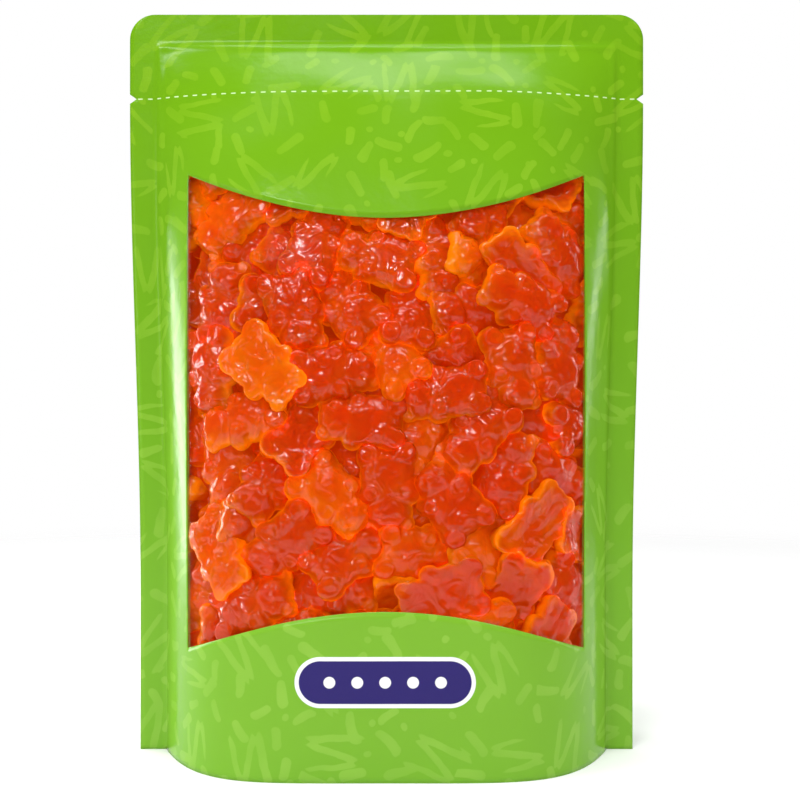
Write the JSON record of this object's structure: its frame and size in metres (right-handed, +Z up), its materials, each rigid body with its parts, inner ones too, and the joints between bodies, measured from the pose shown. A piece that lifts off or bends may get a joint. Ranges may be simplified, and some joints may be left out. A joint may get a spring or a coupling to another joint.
{
  "type": "stand-up pouch of gummy bears",
  "caption": "Heat-sealed stand-up pouch of printed green film with a clear front window, filled with translucent orange gummy bears.",
  "frame": {"origin": "middle of the pouch's footprint, at the height of the surface it stands on", "axes": "+Z up from the base to the top seal, +X to the right when the window is seen, -Y out of the window"},
  "size_m": [0.13, 0.0596, 0.186],
  "materials": {
    "printed_film": "satin printed film in lime green with tone-on-tone strokes",
    "gusset_film": "satin printed film in plain lime green",
    "clear_film": "clear gloss film",
    "gummy": "translucent orange jelly with a soft gloss"
  },
  "bodies": {
    "root": {"front_panel": "printed_film", "back_panel": "printed_film", "bottom_gusset": "gusset_film", "window_pane": "clear_film", "gummy_bears": "gummy"}
  },
  "joints": []
}
